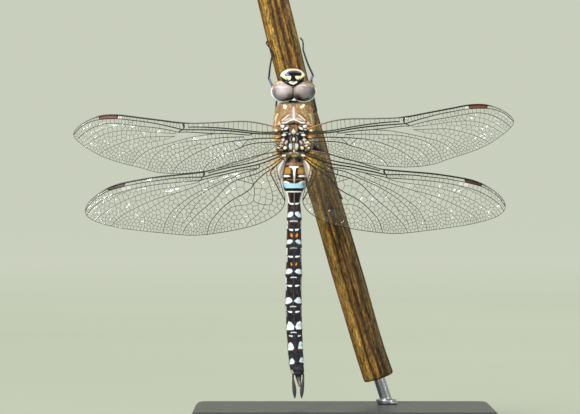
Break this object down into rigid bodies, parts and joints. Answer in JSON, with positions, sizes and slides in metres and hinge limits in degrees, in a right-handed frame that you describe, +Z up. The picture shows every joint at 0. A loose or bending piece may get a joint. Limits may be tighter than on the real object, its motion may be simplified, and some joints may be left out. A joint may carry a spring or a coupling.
{
  "type": "migrant hawker dragonfly model on a stem and stand",
  "caption": "Still life-size model of a male migrant hawker dragonfly, wings spread, clinging head up to a cut length of dry stem held by a rod on a flat base.",
  "frame": {"origin": "centre of the stand base's underside", "axes": "+Z up, with the dragonfly's head up; +X towards the dragonfly's right wings; +Y from the dragonfly's back towards the stem"},
  "size_m": [0.0838, 0.042, 0.0841],
  "materials": {
    "thorax_brown": "brown cuticle with cream and blue-white marks and fine hair",
    "abdomen_dark": "satin black-brown cuticle with pale blue and white spots",
    "eye": "glossy grey-lilac compound eye",
    "face_cream": "satin cream with a black T mark",
    "leg_black": "glossy blue-black",
    "wing": "clear glossy membrane with black-brown veins",
    "clasper": "satin slate-black",
    "stem": "dry ridged plant stem",
    "stand_base": "satin charcoal",
    "stand_rod": "brushed steel"
  },
  "bodies": {
    "root": {"abdomen_s1": "abdomen_dark", "abdomen_s10": "abdomen_dark", "abdomen_s2": "abdomen_dark", "abdomen_s3": "abdomen_dark", "abdomen_s4": "abdomen_dark", "abdomen_s5": "abdomen_dark", "abdomen_s6": "abdomen_dark", "abdomen_s7": "abdomen_dark", "abdomen_s8": "abdomen_dark", "abdomen_s9": "abdomen_dark", "antenna_left": "leg_black", "antenna_right": "leg_black", "cercus_left": "clasper", "cercus_right": "clasper", "epiproct": "clasper", "eye_left": "eye", "eye_right": "eye", "femur_front_left": "leg_black", "femur_front_right": "leg_black", "femur_hind_left": "leg_black", "femur_hind_right": "leg_black", "femur_middle_left": "leg_black", "femur_middle_right": "leg_black", "forewing_left": "wing", "forewing_right": "wing", "head": "face_cream", "hindwing_left": "wing", "hindwing_right": "wing", "mouthparts": "face_cream", "perch_stem": "stem", "prothorax": "thorax_brown", "stand_base": "stand_base", "stand_rod": "stand_rod", "synthorax": "thorax_brown", "tarsus_front_left": "leg_black", "tarsus_front_right": "leg_black", "tarsus_hind_left": "leg_black", "tarsus_hind_right": "leg_black", "tarsus_middle_left": "leg_black", "tarsus_middle_right": "leg_black", "tibia_front_left": "leg_black", "tibia_front_right": "leg_black", "tibia_hind_left": "leg_black", "tibia_hind_right": "leg_black", "tibia_middle_left": "leg_black", "tibia_middle_right": "leg_black"}
  },
  "joints": []
}
